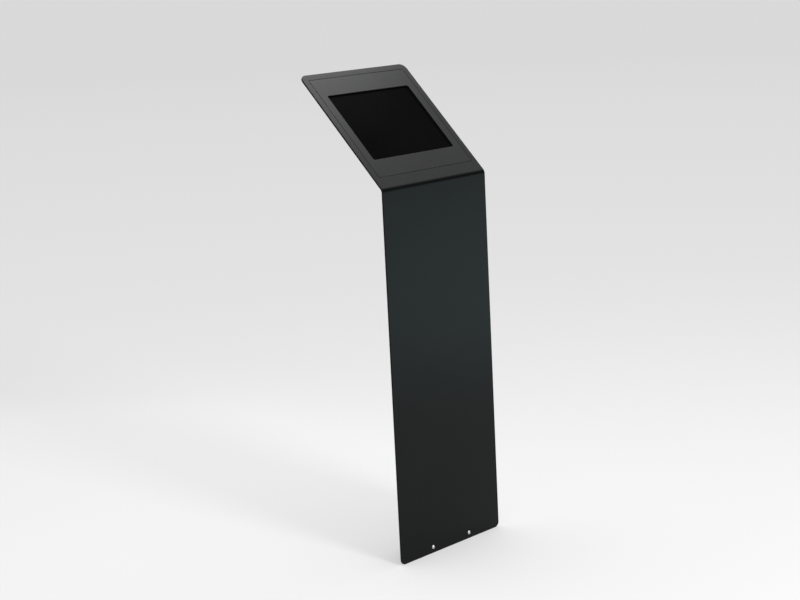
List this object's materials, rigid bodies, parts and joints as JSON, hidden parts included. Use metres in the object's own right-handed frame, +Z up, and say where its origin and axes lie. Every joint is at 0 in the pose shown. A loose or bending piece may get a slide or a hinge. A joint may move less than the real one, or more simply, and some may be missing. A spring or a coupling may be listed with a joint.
{
  "type": "touchscreen kiosk",
  "caption": "Slim floor-standing touchscreen kiosk: one folded steel plate as front panel and tilted head, with a flush tablet bezel, a rear column, a service door and a floor plate.",
  "frame": {"origin": "centre of the four floor bolts, on the floor", "axes": "+Z up, +X to the right as seen from the front, +Y to the back"},
  "size_m": [0.34, 0.25, 1.1097],
  "materials": {
    "plate_coat": "satin fine-texture powder coat, near black",
    "bezel_coat": "satin fine-texture powder coat, near black",
    "housing_coat": "satin fine-texture powder coat, near black",
    "zinc_sheet": "zinc coated sheet",
    "bright_steel": "polished stainless steel",
    "zinc_steel": "zinc plated",
    "hinge_steel": "satin stainless steel",
    "lock_chrome": "satin chrome",
    "socket_plastic": "black nylon",
    "pad_rubber": "black rubber",
    "foam": "black closed-cell foam",
    "tablet_alu": "fine blasted, dark grey",
    "cover_glass": "black glass front, screen off",
    "display_panel": "dark display stack",
    "battery_foil": "dark foil",
    "board": "green board",
    "psu_plastic": "black plastic",
    "brass_pins": "bright",
    "strap_plastic": "black nylon",
    "cable_jacket": "black jacket",
    "plug_plastic": "black plastic"
  },
  "bodies": {
    "stand": {"front_fascia": "plate_coat", "head_housing": "housing_coat", "column_channel": "housing_coat", "floor_plate": "housing_coat", "screw_upright": "housing_coat", "foot_gussets": "housing_coat", "column_cap": "housing_coat", "support_frame": "housing_coat", "tablet_tray": "zinc_sheet", "psu_bracket": "zinc_sheet", "fascia_screws": "bright_steel", "tray_screws": "bright_steel", "threaded_inserts": "zinc_steel", "cap_bolts": "zinc_steel", "cap_nuts": "zinc_steel", "tray_nuts": "zinc_steel", "lock_nut": "zinc_steel", "hinge_fixed_leaves": "hinge_steel", "hinge_pins": "bright_steel", "hinge_screws": "bright_steel", "lock_barrel": "lock_chrome", "catch_sockets": "socket_plastic", "corner_pads": "pad_rubber", "foam_strips": "foam", "tablet_shell": "tablet_alu", "tablet_glass": "cover_glass", "tablet_display": "display_panel", "tablet_battery": "battery_foil", "tablet_board": "board", "power_supply": "psu_plastic", "inlet_pins": "brass_pins", "psu_strap": "strap_plastic", "charge_cable": "cable_jacket", "usb_plug": "plug_plastic", "cable_clips": "strap_plastic", "cable_grommet": "pad_rubber"},
    "bezel": {"bezel_panel": "bezel_coat", "bezel_pins": "zinc_steel", "bezel_hook": "zinc_steel", "screen_gasket": "foam"},
    "head_lock": {"lock_core": "lock_chrome", "lock_cam": "zinc_steel", "cam_screw": "bright_steel"},
    "service_door": {"door_panel": "housing_coat", "hinge_door_leaves": "hinge_steel", "door_rivets": "bright_steel", "door_lock_barrel": "lock_chrome", "door_lock_nut": "zinc_steel"},
    "door_lock": {"door_lock_core": "lock_chrome", "door_lock_cam": "zinc_steel", "door_cam_screw": "bright_steel"},
    "power_key": {"power_key": "tablet_alu"},
    "volume_up_key": {"volume_up_key": "tablet_alu"},
    "volume_down_key": {"volume_down_key": "tablet_alu"}
  },
  "joints": [
    {"name": "bezel_lift", "type": "slide", "parent": "stand", "child": "bezel", "axis": [0, -0.7071, 0.7071], "range_m": [0, 0.06]},
    {"name": "head_lock_turn", "type": "hinge", "parent": "stand", "child": "head_lock", "pos_m": [0, 0.15655, 1.05026], "axis": [0, -0.7071, 0.7071], "range_deg": [0, 90]},
    {"name": "door_hinge", "type": "hinge", "parent": "stand", "child": "service_door", "pos_m": [-0.068, 0.0208, 0.2], "axis": [0, 0, 1], "range_deg": [0, 110]},
    {"name": "door_lock_turn", "type": "hinge", "parent": "service_door", "child": "door_lock", "pos_m": [0.042, 0.017, 0.2], "axis": [0, -1, 0], "range_deg": [0, 90]},
    {"name": "power_press", "type": "slide", "parent": "stand", "child": "power_key", "axis": [0, -0.7071, -0.7071], "range_m": [0, 0.0004], "stiffness_N_per_m": 3000, "springref_m": -0.0002},
    {"name": "volume_up_press", "type": "slide", "parent": "stand", "child": "volume_up_key", "axis": [0, -0.7071, -0.7071], "range_m": [0, 0.0004], "stiffness_N_per_m": 3000, "springref_m": -0.0002},
    {"name": "volume_down_press", "type": "slide", "parent": "stand", "child": "volume_down_key", "axis": [0, -0.7071, -0.7071], "range_m": [0, 0.0004], "stiffness_N_per_m": 3000, "springref_m": -0.0002}
  ]
}
